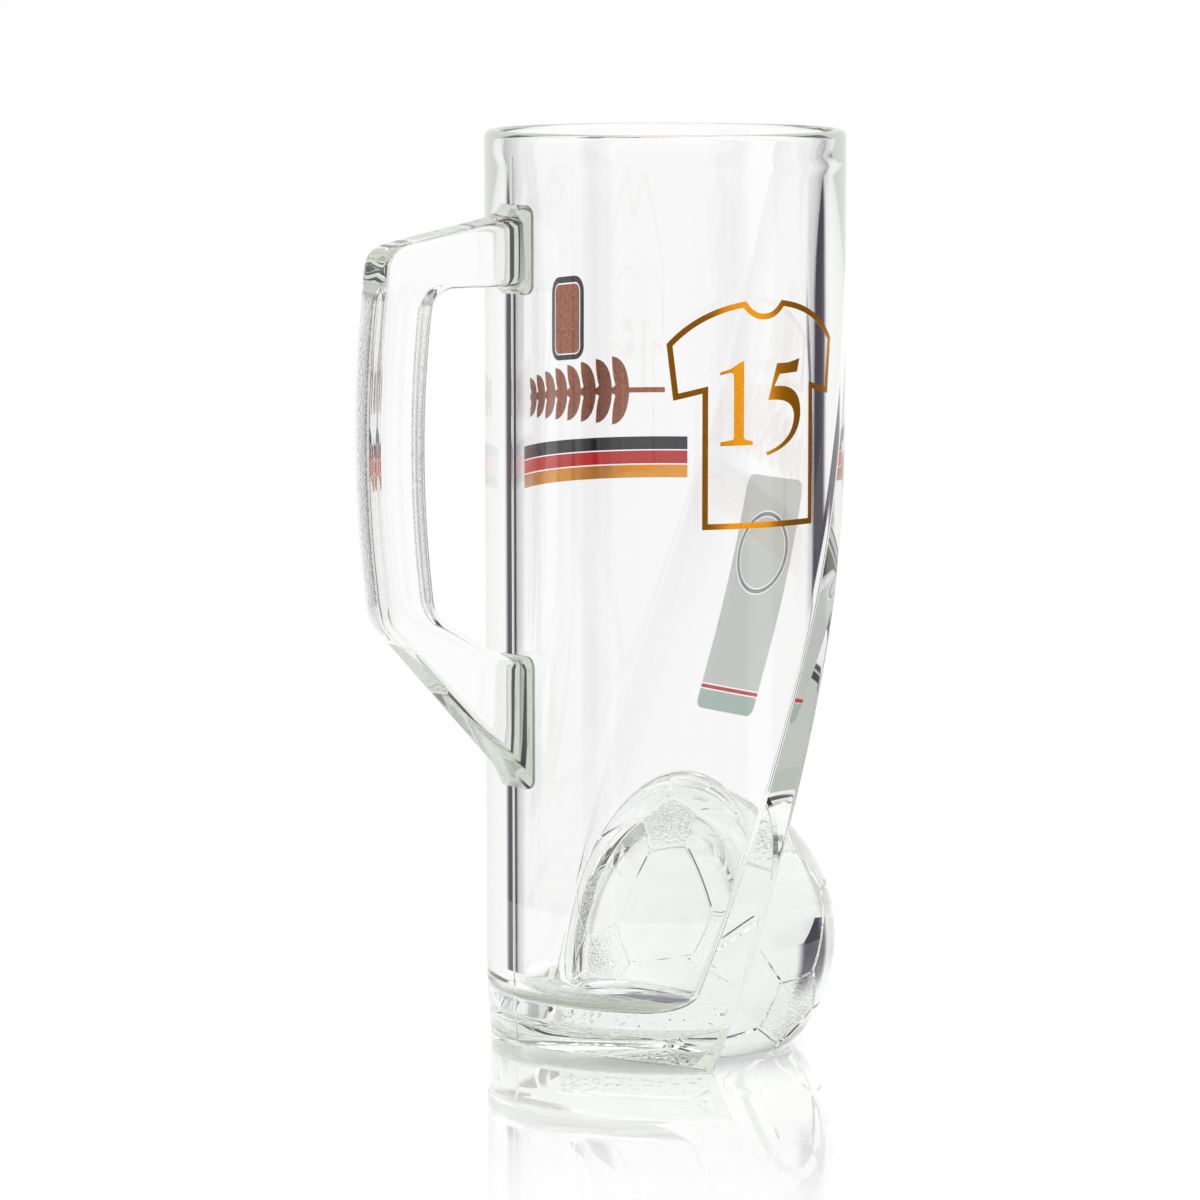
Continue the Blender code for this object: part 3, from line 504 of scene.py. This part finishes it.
def makeBall():
    bpy.ops.object.select_all(action="DESELECT")
    turn = [math.radians(a) for a in ballDims["turn"]]
    bpy.ops.mesh.primitive_ico_sphere_add(subdivisions=1, radius=1.0, rotation=turn)
    ball = bpy.context.object
    ball.name = "glassFootball"
    bpy.ops.object.transform_apply(location=False, rotation=True, scale=False)
    for material in (clearGlass, fusedGlass, stippledGlass):
        ball.data.materials.append(material)
    bpy.ops.object.mode_set(mode="EDIT")
    bpy.ops.mesh.select_all(action="SELECT")
    # cutting the twelve corners off leaves the pentagons
    bpy.ops.mesh.bevel(offset_type="PERCENT", offset_pct=ballDims["cornerCut"], affect="VERTICES")
    bpy.ops.mesh.select_all(action="SELECT")
    bpy.ops.mesh.remove_doubles(threshold=0.001)
    bpy.ops.mesh.select_all(action="SELECT")
    bpy.ops.mesh.mark_seam(clear=False)
    bm = bmesh.from_edit_mesh(ball.data)
    for face in bm.faces:
        face.material_index = 2 if len(face.verts) == 5 else 0
    bmesh.update_edit_mesh(ball.data)
    bpy.ops.mesh.poke()
    bpy.ops.mesh.select_all(action="SELECT")
    bpy.ops.mesh.subdivide(number_cuts=ballDims["cuts"])
    bpy.ops.object.mode_set(mode="OBJECT")
    print("football panels:", len(ball.data.polygons), "faces")

    # round it out, and press the seams in
    bm = bmesh.new()
    bm.from_mesh(ball.data)
    seamEdges = [e for e in bm.edges if e.seam]
    radius = ballDims["radius"]
    for v in bm.verts:
        v.co = v.co.normalized() * radius
    made = bmesh.ops.bevel(bm, geom=seamEdges, offset=ballDims["seam"], segments=4, profile=0.5,
                           affect="EDGES", offset_type="OFFSET", material=-1)
    seamPoints = set(made["verts"])
    madeFaces = set(made["faces"])
    for v in bm.verts:
        depth = 0.0
        if v in seamPoints:
            outside = [f for f in v.link_faces if f not in madeFaces]
            depth = 0.0 if outside else ballDims["seamDepth"]
        v.co = v.co.normalized() * (radius - depth)
    for f in madeFaces:
        f.material_index = 0
    centre = Vector((ballDims["offset"], 0.0, ballDims["height"]))
    soft = ballDims["footRound"]
    for v in bm.verts:  # it turns softly into the flat that it stands on
        v.co += centre
        z = v.co.z
        v.co.z = 0.5 * (z + math.sqrt(z * z + soft * soft)) if z > -3 * soft else 0.0
        v.co.z = max(0.0, v.co.z - soft * soft / (4 * 3 * soft) * (1 if z < 3 * soft else 0))
    normal = Vector((-math.cos(body["lean"]), 0.0, math.sin(body["lean"])))
    fillet = ballDims["fillet"]
    foot = Vector((body["rampFoot"], 0.0, 0.0))
    cut = bmesh.ops.bisect_plane(bm, geom=bm.verts[:] + bm.edges[:] + bm.faces[:], dist=1e-4,
                                 plane_co=foot - normal * fillet, plane_no=normal, clear_outer=True)
    rim = [g for g in cut["geom_cut"] if isinstance(g, bmesh.types.BMEdge)]

    # a round fillet runs the ball out onto the ramp, and a sunk rim fuses it there
    middle = centre + normal * normal.dot(foot - centre)
    full = math.sqrt(radius ** 2 - (normal.dot(foot - centre) - fillet) ** 2)
    for k in range(1, ballDims["filletSteps"] + 2):
        a = math.pi / 2 * k / ballDims["filletSteps"]
        grown = bmesh.ops.extrude_edge_only(bm, edges=rim)["geom"]
        rim = [g for g in grown if isinstance(g, bmesh.types.BMEdge)]
        sunk = k > ballDims["filletSteps"]
        for v in [g for g in grown if isinstance(g, bmesh.types.BMVert)]:
            if sunk:
                v.co += normal * ballDims["sink"]
                continue
            flat = v.co - middle
            flat -= normal * normal.dot(flat)
            reach = flat.length - filletGrowth(k - 1)
            if v.co.z > 2 * soft:
                reach += (full - reach) * min(1.0, 2 * k / ballDims["filletSteps"])
            outward = flat.normalized() * (reach + filletGrowth(k))
            v.co = middle + outward - normal * fillet * (1 - math.sin(a))
            v.co.z = max(v.co.z, 0.0)
        if sunk:
            for f in [g for g in grown if isinstance(g, bmesh.types.BMFace)]:
                f.material_index = 1
    top = [e for e in bm.edges if e.is_boundary]
    for f in bmesh.ops.contextual_create(bm, geom=top)["faces"]:
        f.material_index = 1
    bmesh.ops.scale(bm, vec=(mm, mm, mm), verts=bm.verts)
    bmesh.ops.recalc_face_normals(bm, faces=bm.faces)
    for e in bm.edges:
        e.seam = False
    bm.to_mesh(ball.data)
    bm.free()
    ball.data.shade_smooth()
    return ball


glassFootball = makeBall()
print("football pressed:", len(glassFootball.data.polygons), "faces")


def pocket(piece, cutter):
    cut = piece.modifiers.new("seat", "BOOLEAN")
    cut.operation = "DIFFERENCE"
    cut.solver = "EXACT"
    cut.material_mode = "TRANSFER"
    cut.object = cutter
    bpy.ops.object.select_all(action="DESELECT")
    bpy.context.view_layer.objects.active = piece
    piece.select_set(True)
    bpy.ops.object.modifier_apply(modifier=cut.name)


pocket(glassBody, sideHandle)
pocket(glassBody, glassFootball)
for piece in (glassBody, sideHandle, glassFootball):
    piece.data.set_sharp_from_angle(angle=math.radians(body["sharpFrom"]))
for piece, node, slotName in ((glassBody, "glass_body", "clear_glass"), (sideHandle, "handle", "clear_glass"),
                              (glassFootball, "football", "football_glass")):
    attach(piece, "root")
    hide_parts(node)
print("glass fused:", len(glassBody.data.polygons), "faces,", [m.name for m in glassBody.data.materials])


# fired colours: thin skins laid on the wall or the ramp, outlines in millimetres along the surface and up
skinDims = {"under": -0.03, "over": 0.08, "strip": 0.8, "rampStrip": 3.0, "sharpFrom": 40.0}


def onWall(side):
    def place(s, depth, z):
        r = wallRadius(z)
        a = side * math.pi / 2 + s / r
        return ((r + depth) * math.cos(a), (r + depth) * math.sin(a), z)
    return place


def onRamp(s, depth, z):
    lean = rampLean(z)
    return (rampX(z) + depth * math.cos(lean), s, z - depth * math.sin(lean))


def filled(points):
    bm = bmesh.new()
    face = bm.faces.new([bm.verts.new((s, 0.0, z)) for s, z in points])
    face.normal_update()
    bmesh.ops.triangulate(bm, faces=[face])
    return bm


def framed(outer, inner):
    bm = bmesh.new()
    far = [bm.verts.new((s, 0.0, z)) for s, z in outer]
    close = [bm.verts.new((s, 0.0, z)) for s, z in inner]
    for i in range(len(far)):
        bm.faces.new((far[i - 1], far[i], close[i], close[i - 1]))
    return bm


def laySkin(name, plate, place, material, node, slotName):
    for axis, step in ((0, skinDims["strip"]), (2, skinDims["rampStrip"])):
        normal = Vector((1, 0, 0)) if axis == 0 else Vector((0, 0, 1))
        places = [v.co[axis] for v in plate.verts]
        for i in range(math.ceil(min(places) / step), math.floor(max(places) / step) + 1):
            bmesh.ops.bisect_plane(plate, geom=plate.verts[:] + plate.edges[:] + plate.faces[:], dist=0.02,
                                   plane_co=normal * (i * step), plane_no=normal)
    raised = bmesh.ops.extrude_face_region(plate, geom=plate.faces[:], use_keep_orig=True)
    top = {g for g in raised["geom"] if isinstance(g, bmesh.types.BMVert)}
    for v in plate.verts:
        v.co = Vector(place(v.co.x, skinDims["over"] if v in top else skinDims["under"], v.co.z)) * mm
    bmesh.ops.recalc_face_normals(plate, faces=plate.faces)
    if plate.calc_volume(signed=True) < 0:
        bmesh.ops.reverse_faces(plate, faces=plate.faces)
    mesh = bpy.data.meshes.new(name)
    plate.to_mesh(mesh)
    plate.free()
    mesh.shade_smooth()
    mesh.set_sharp_from_angle(angle=math.radians(skinDims["sharpFrom"]))
    mesh.materials.append(material)
    piece = bpy.data.objects.new(name, mesh)
    bpy.context.collection.objects.link(piece)
    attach(piece, "root")
    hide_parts(node)
    return piece


def offsetOutline(points, distance):
    moved = []
    for i, point in enumerate(points):
        here = Vector(point)
        before = (here - Vector(points[i - 1])).normalized().orthogonal()
        after = (Vector(points[(i + 1) % len(points)]) - here).normalized().orthogonal()
        mitre = before + after
        moved.append(tuple(here + mitre * (distance * 2 / mitre.length_squared)))
    return moved


def pulled(start, pull, end, steps):
    points = []
    for i in range(1, steps + 1):
        t = i / steps
        points.append(tuple(Vector(start).lerp(Vector(pull), t).lerp(Vector(pull).lerp(Vector(end), t), t)))
    return points


def ellipse(centre, wide, high, begin, end, steps):
    turns = [math.radians(begin + (end - begin) * i / steps) for i in range(steps + 1)]
    return [(centre[0] + wide * math.cos(a), centre[1] + high * math.sin(a)) for a in turns]


def roundedBox(centre, width, height, corner, steps=8):
    points = []
    for sx, sz, begin in ((1, 1, 0), (-1, 1, 90), (-1, -1, 180), (1, -1, 270)):
        middle = (centre[0] + sx * (width / 2 - corner), centre[1] + sz * (height / 2 - corner))
        points += ellipse(middle, corner, corner, begin, begin + 90, steps)
    return points


# the shirt in gold line, with its number
shirtDims = {
    "centre": -0.8, "line": 1.3, "bottom": 123.1, "halfBody": 14.2, "armpit": 153.5,
    "sleeveUnder": (20.8, 152.0), "sleeveTip": (22.2, 163.5), "shoulderPull": (15.5, 170.8),
    "collar": (5.0, 172.2), "dip": 169.4,
    "onePlace": (-11.6, 141.0), "oneSize": (8.0, 18.8), "fivePlace": (-0.2, 138.5), "fiveSize": (10.2, 21.2),
}


def makeShirt():
    d = shirtDims
    right = [(d["halfBody"], d["bottom"]), (d["halfBody"], d["armpit"]), d["sleeveUnder"], d["sleeveTip"]]
    right += pulled(d["sleeveTip"], d["shoulderPull"], d["collar"], 24)
    right += pulled(d["collar"], (d["collar"][0] * 0.6, d["dip"]), (0.0, d["dip"]), 12)
    left = [(-s, z) for s, z in reversed(right[:-1])]
    line = [(s + d["centre"], z) for s, z in right + left]
    plate = framed(offsetOutline(line, -d["line"] / 2), offsetOutline(line, d["line"] / 2))
    laySkin("shirtOutline", plate, onWall(-1), goldLustre, "shirt_outline", "gold_print")

    def digit(points, place, size):
        return filled([(place[0] + s * size[0], place[1] + z * size[1]) for s, z in points])

    # both digits are drawn in a box of one by one
    one = [(0, 0), (1, 0), (0.98, 0.045), (0.74, 0.07), (0.71, 0.1), (0.71, 1.0), (0.58, 0.975), (0.3, 0.905),
           (0, 0.868), (0, 0.835), (0.3, 0.86), (0.39, 0.85), (0.41, 0.82), (0.41, 0.1), (0.38, 0.07),
           (0.02, 0.045)]
    onePlate = digit(one, d["onePlace"], d["oneSize"])
    laySkin("numberOne", onePlate, onWall(-1), goldLustre, "number_one", "gold_print")
    five = [(0.285, 0.962), (0.62, 0.965), (0.946, 1.0), (0.87, 0.86), (0.36, 0.848), (0.21, 0.725)]
    five += pulled((0.21, 0.725), (0.98, 0.74), (0.985, 0.44), 16)
    five += pulled((0.985, 0.44), (0.98, 0.13), (0.03, 0.0), 16) + [(0.0, 0.035)]
    five += pulled((0.0, 0.035), (0.74, 0.13), (0.79, 0.40), 16)
    five += pulled((0.79, 0.40), (0.76, 0.60), (0.05, 0.58), 16)
    fivePlate = digit(five, d["fivePlace"], d["fiveSize"])
    laySkin("numberFive", fivePlate, onWall(-1), goldLustre, "number_five", "gold_print")


makeShirt()
print("shirt printed")


# the far side: three stripes, a barley ear and an empty badge
sideDims = {
    "stripeLength": 60.0, "stripeHeight": 3.0, "stripeTop": 136.6, "gap": 0.3,
    "earLength": 48.0, "earHalf": 8.0, "earStem": 1.2, "earCentre": 147.5, "grains": 8,
    "badge": (12.0, 17.5), "badgeCentre": (5.0, 163.9), "badgeCorner": 3.0, "badgeLine": 1.2,
}


def makeFarSide():
    d = sideDims
    stripes = ((blackEnamel, "black", "black_enamel"), (redEnamel, "red", "red_enamel"),
               (goldLustre, "gold", "gold_print"))
    for i, (material, word, slotName) in enumerate(stripes):
        top = d["stripeTop"] - i * (d["stripeHeight"] + d["gap"])
        half = d["stripeLength"] / 2
        box = [(-half, top - d["stripeHeight"]), (half, top - d["stripeHeight"]), (half, top), (-half, top)]
        laySkin("stripe" + word.capitalize(), filled(box), onWall(1), material, "stripe_" + word, slotName)
    grain = d["earLength"] / (d["grains"] + 2)
    start = -d["earLength"] / 2 + 2 * grain
    upper = [(-d["earLength"] / 2, d["earStem"] / 2)]
    for i in range(d["grains"]):
        tall = d["earHalf"] * (1 - 0.5 * i / d["grains"])  # the grains get smaller towards the tip
        root = (start + i * grain, d["earStem"] / 2)
        belly = (start + (i + 0.1) * grain, tall * 0.95)
        point = (start + (i + 1.0) * grain, tall)
        back = (start + (i + 0.8) * grain, d["earStem"])
        upper += [root] + pulled(root, belly, point, 6)
        upper += pulled(point, (point[0], tall * 0.5), back, 5)
    outline = upper + [(d["earLength"] / 2, 0.0)] + [(s, -z) for s, z in reversed(upper)]
    ear = [(s, d["earCentre"] + z) for s, z in outline]
    laySkin("barleyEar", filled(ear), onWall(1), copperLustre, "barley_ear", "copper_print")
    middle, (w, t), line, c = d["badgeCentre"], d["badge"], d["badgeLine"], d["badgeCorner"]
    frameBox, innerBox = roundedBox(middle, w, t, c), roundedBox(middle, w - 2 * line, t - 2 * line, c - line)
    laySkin("badgeFrame", framed(frameBox, innerBox), onWall(1), blackEnamel, "badge_frame", "black_enamel")
    inset = 2 * line + 2 * d["gap"]
    fieldBox = roundedBox(middle, w - inset, t - inset, c - line - d["gap"])
    laySkin("badgeField", filled(fieldBox), onWall(1), copperLustre, "badge_field", "copper_print")


makeFarSide()
print("far side printed")


# the label on the ramp: a pale panel with a ring, a red rule and a teal foot
labelDims = {
    "centre": -5.5, "width": 21.6, "top": 129.0, "bottom": 75.6, "band": 4.2, "rule": 0.8, "gap": 0.3,
    "ringCentre": 111.7, "ringRadius": 9.3, "ringLine": 0.9, "ringTurns": 64, "corner": 2.0,
}


def makeLabel():
    d = labelDims
    left, right = d["centre"] - d["width"] / 2, d["centre"] + d["width"] / 2
    bandTop = d["bottom"] + d["band"]
    ruleLow = bandTop + d["gap"]
    panelLow = ruleLow + d["rule"] + d["gap"]
    c = d["corner"]
    foot = ellipse((left + c, d["bottom"] + c), c, c, 180, 270, 8)
    foot += ellipse((right - c, d["bottom"] + c), c, c, 270, 360, 8)
    bandPlate = filled(foot + [(right, bandTop), (left, bandTop)])
    laySkin("labelBand", bandPlate, onRamp, tealEnamel, "label_band", "teal_enamel")
    ruleTop = ruleLow + d["rule"]
    rulePlate = filled([(left, ruleLow), (right, ruleLow), (right, ruleTop), (left, ruleTop)])
    laySkin("labelRule", rulePlate, onRamp, redEnamel, "label_rule", "red_enamel")
    turns = d["ringTurns"]

    def circle(radius):
        return ellipse((d["centre"], d["ringCentre"]), radius, radius, 0, 360, turns)[:-1]

    border = []
    for i in range(turns):
        way = Vector((math.cos(2 * math.pi * i / turns), math.sin(2 * math.pi * i / turns)))
        way = way / max(abs(way.x), abs(way.y))
        room = d["top"] - d["ringCentre"] if way.y > 0 else d["ringCentre"] - panelLow
        x, z = way.x * d["width"] / 2, d["ringCentre"] + way.y * room
        over = Vector((abs(x) - (d["width"] / 2 - c), z - (d["top"] - c)))
        if over.x > 0 and over.y > 0:  # the upper corners are rounded
            over = over.normalized() * c
            x, z = math.copysign(d["width"] / 2 - c + over.x, x), d["top"] - c + over.y
        border.append((d["centre"] + x, z))
    panelPlate = framed(border, circle(d["ringRadius"] + d["gap"]))
    laySkin("labelPanel", panelPlate, onRamp, whiteEnamel, "label_panel", "white_enamel")
    ringIn = d["ringRadius"] - d["ringLine"]
    ringPlate = framed(circle(d["ringRadius"]), circle(ringIn))
    laySkin("labelRing", ringPlate, onRamp, greyEnamel, "label_ring", "grey_enamel")
    laySkin("labelDisc", filled(circle(ringIn - d["gap"])), onRamp, whiteEnamel, "label_disc", "white_enamel")


makeLabel()
print("label printed")


# studio: a white sheet that mirrors the mug's foot, in a white room with darker gaps between its panels
studio = {
    "eye": (-764.3, -1149.8, 260.8), "aim": (-12.36, 8.03, 102.3), "lens": 182.8, "sensor": 36.0,
    # the sheet, in metres from its middle
    "floorRadius": 0.24, "mirror": 0.5, "mirrorBlur": 0.012, "mirrorFrom": 0.04, "mirrorTo": 0.22,
    "whiteFrom": 0.045, "whiteTo": 0.12, "seenThrough": 0.115, "sheetEdge": 0.0,
    # what bent light shows, in degrees: upright gaps beside the back panel, and a dim ceiling
    "backTurn": 57.0, "backFold": 90.0, "gapFrom": 39.5, "gapTo": 62.0, "gapColour": "#4A4454",
    "gapTilt": -8.0, "gapHalf": 20.0, "topFrom": 28.0, "topTo": 42.0, "topColour": "#6E6A74",
    # what shiny faces show: dark sides, a dark space behind the eye, and one to the left of the softbox
    "boxTurn": -121.5, "boxFold": 180.0, "darkFrom": 71.0, "darkTo": 125.0, "roomDark": "#6A655F",
    "eyeHalf": 34.0, "eyeDark": "#625E6A", "leftTurn": -181.0, "leftHalf": 15.0,
    "softTurn": 3.0, "softTilt": 5.0,  # half the blur of the panels' upright edges, and of the level ones
    "deepBounce": 2.5,  # later reflections see the dark sides above the horizon too
    "lampSize": 0.9, "lampPower": 3.0, "lampPlace": (0.35, -0.25, 1.1), "lampAim": (0.0, 0.0, 0.1),
}


def smoothStep(tree, socket, start, end, low=0.0, high=1.0):
    return addNode(tree, "ShaderNodeMapRange",
                   {"From Min": start, "From Max": end, "To Min": low, "To Max": high,
                    "interpolation_type": "SMOOTHSTEP"}, {"Value": socket})


def makeFloor():
    s = studio
    bpy.ops.object.select_all(action="DESELECT")
    bpy.ops.mesh.primitive_circle_add(vertices=96, radius=s["floorRadius"], fill_type="NGON",
                                      location=(0, 0, -0.02 * mm))
    floor = bpy.context.object
    floor.name = "studioFloor"
    bpy.ops.object.transform_apply(location=True)
    # white acrylic sheet: dull white, lit through further out, with a soft mirror that fades from the mug
    material, tree = newMaterial("whiteAcrylicSheet")
    place = addNode(tree, "ShaderNodeTexCoord")
    away = addNode(tree, "ShaderNodeVectorMath", {"operation": "LENGTH"}, {0: place.outputs["Object"]})
    sheet = addNode(tree, "ShaderNodeBsdfDiffuse", {"Color": (1.0, 1.0, 1.0, 1.0)})
    mirror = addNode(tree, "ShaderNodeBsdfGlossy",
                     {"Color": (1.0, 1.0, 1.0, 1.0), "Roughness": s["mirrorBlur"]})
    far = addNode(tree, "ShaderNodeEmission", {"Strength": 1.0})
    beyond = smoothStep(tree, away.outputs[1], s["whiteFrom"], s["whiteTo"])
    white = addNode(tree, "ShaderNodeMixShader", {},
                    {0: beyond.outputs[0], 1: sheet.outputs[0], 2: far.outputs[0]})
    fade = smoothStep(tree, away.outputs[1], s["mirrorFrom"], s["mirrorTo"], s["mirror"], 0.0)
    sweep = addNode(tree, "ShaderNodeMixShader", {},
                    {0: fade.outputs[0], 1: white.outputs[0], 2: mirror.outputs[0]})
    # further out on the handle's side, light that the glass has bent passes on to the room's panels
    ray = addNode(tree, "ShaderNodeLightPath")
    outside = addNode(tree, "ShaderNodeMath", {"operation": "GREATER_THAN", 1: s["seenThrough"]},
                      {0: away.outputs[1]})
    across = addNode(tree, "ShaderNodeSeparateXYZ", {}, {0: place.outputs["Object"]})
    handleSide = addNode(tree, "ShaderNodeMath", {"operation": "LESS_THAN", 1: s["sheetEdge"]},
                         {0: across.outputs[0]})
    uncovered = addNode(tree, "ShaderNodeMath", {"operation": "MULTIPLY"},
                        {0: outside.outputs[0], 1: handleSide.outputs[0]})
    bent = addNode(tree, "ShaderNodeMath", {"operation": "MULTIPLY"},
                   {0: uncovered.outputs[0], 1: ray.outputs["Is Transmission Ray"]})
    room = addNode(tree, "ShaderNodeBsdfTransparent")
    endMaterial(tree, addNode(tree, "ShaderNodeMixShader", {},
                              {0: bent.outputs[0], 1: sweep.outputs[0], 2: room.outputs[0]}))
    floor.data.materials.append(material)


def makeRoom():
    s = studio
    world = bpy.data.worlds.new("whiteRoom")
    bpy.context.scene.world = world
    world.use_nodes = True
    tree = world.node_tree
    tree.nodes.clear()
    ray = addNode(tree, "ShaderNodeLightPath")
    way = addNode(tree, "ShaderNodeTexCoord")
    xyz = addNode(tree, "ShaderNodeSeparateXYZ", {}, {0: way.outputs["Generated"]})
    turn = addNode(tree, "ShaderNodeMath", {"operation": "ARCTAN2"}, {0: xyz.outputs[1], 1: xyz.outputs[0]})
    rise = addNode(tree, "ShaderNodeMath", {"operation": "ARCSINE"}, {0: xyz.outputs[2]})
    lift = addNode(tree, "ShaderNodeMath", {"operation": "SUBTRACT", 1: math.radians(s["gapTilt"])},
                   {0: rise.outputs[0]})
    tilt = addNode(tree, "ShaderNodeMath", {"operation": "ABSOLUTE"}, {0: lift.outputs[0]})
    level = smoothStep(tree, tilt.outputs[0], math.radians(s["gapHalf"] - s["softTilt"]),
                       math.radians(s["gapHalf"] + s["softTilt"]), 1.0, 0.0)
    below = addNode(tree, "ShaderNodeMapRange",
                    {"From Min": 0.0, "From Max": math.radians(s["softTilt"]), "To Min": 1.0, "To Max": 0.0},
                    {"Value": rise.outputs[0]})
    later = addNode(tree, "ShaderNodeMath", {"operation": "GREATER_THAN", 1: s["deepBounce"]},
                    {0: ray.outputs["Ray Depth"]})
    offFloor = addNode(tree, "ShaderNodeMath", {"operation": "MAXIMUM"},
                       {0: below.outputs[0], 1: later.outputs[0]})

    def band(centre, fold, start, end, colour, within):
        # white all round the room, with an upright band of a colour on both sides of a direction
        soft = s["softTurn"]
        offset = addNode(tree, "ShaderNodeMath", {"operation": "SUBTRACT", 1: math.radians(centre)},
                         {0: turn.outputs[0]})
        away = addNode(tree, "ShaderNodeMath", {"operation": "PINGPONG", 1: math.radians(fold)},
                       {0: offset.outputs[0]})
        opens = smoothStep(tree, away.outputs[0], math.radians(start - soft), math.radians(start + soft))
        closes = smoothStep(tree, away.outputs[0], math.radians(end - soft), math.radians(end + soft),
                            1.0, 0.0)
        both = addNode(tree, "ShaderNodeMath", {"operation": "MULTIPLY"},
                       {0: opens.outputs[0], 1: closes.outputs[0]})
        both = addNode(tree, "ShaderNodeMath", {"operation": "MULTIPLY"},
                       {0: both.outputs[0], 1: within.outputs[0]})
        return addNode(tree, "ShaderNodeMix",
                       {"data_type": "RGBA", 6: (1.0, 1.0, 1.0, 1.0), 7: hexToLinear(colour)},
                       {0: both.outputs[0]})

    def multiplied(one, other):
        return addNode(tree, "ShaderNodeMix", {"data_type": "RGBA", "blend_type": "MULTIPLY", 0: 1.0},
                       {6: one.outputs[2], 7: other.outputs[2]})

    panels = band(s["backTurn"], s["backFold"], s["gapFrom"], s["gapTo"], s["gapColour"], level)
    high = smoothStep(tree, rise.outputs[0], math.radians(s["topFrom"]), math.radians(s["topTo"]))
    # the ceiling is dim to look at, and still lights the colours
    seen = addNode(tree, "ShaderNodeMath", {"operation": "LESS_THAN", 1: 0.5},
                   {0: ray.outputs["Diffuse Depth"]})
    seenHigh = addNode(tree, "ShaderNodeMath", {"operation": "MULTIPLY"},
                       {0: high.outputs[0], 1: seen.outputs[0]})
    through = addNode(tree, "ShaderNodeMix", {"data_type": "RGBA", 7: hexToLinear(s["topColour"])},
                      {0: seenHigh.outputs[0], 6: panels.outputs[2]})
    sides = band(s["boxTurn"], s["boxFold"], s["darkFrom"], s["darkTo"], s["roomDark"], offFloor)
    behindEye = band(s["boxTurn"], s["boxFold"], -s["eyeHalf"], s["eyeHalf"], s["eyeDark"], below)
    leftOfBox = band(s["leftTurn"], s["boxFold"], -s["leftHalf"], s["leftHalf"], s["eyeDark"], below)
    mirrored = multiplied(multiplied(sides, behindEye), leftOfBox)
    shiny = addNode(tree, "ShaderNodeMix", {"data_type": "RGBA", 6: (1.0, 1.0, 1.0, 1.0)},
                    {0: ray.outputs["Is Glossy Ray"], 7: mirrored.outputs[2]})
    clear = addNode(tree, "ShaderNodeMix", {"data_type": "RGBA"},
                    {0: ray.outputs["Is Transmission Ray"], 6: shiny.outputs[2], 7: through.outputs[2]})
    sky = addNode(tree, "ShaderNodeBackground", {}, {"Color": clear.outputs[2]})
    addNode(tree, "ShaderNodeOutputWorld", {}, {"Surface": sky.outputs[0]})


def aimed(name, data, place, target):
    item = bpy.data.objects.new(name, data)
    item.location = place
    item.rotation_euler = (Vector(target) - item.location).to_track_quat("-Z", "Y").to_euler()
    bpy.context.collection.objects.link(item)
    return item


def makeLampAndCamera():
    s = studio
    lamp = bpy.data.lights.new("topSoftbox", "AREA")
    lamp.size = s["lampSize"]
    lamp.energy = s["lampPower"]
    aimed("topSoftbox", lamp, s["lampPlace"], s["lampAim"])
    camera = bpy.data.cameras.new("photoCamera")
    camera.lens = s["lens"]
    camera.sensor_width = s["sensor"]
    camera.clip_start = 0.01
    scene = bpy.context.scene
    scene.camera = aimed("photoCamera", camera, Vector(s["eye"]) * mm, Vector(s["aim"]) * mm)
    scene.view_settings.view_transform = "Standard"


makeFloor()
makeRoom()
makeLampAndCamera()
print("studio set")
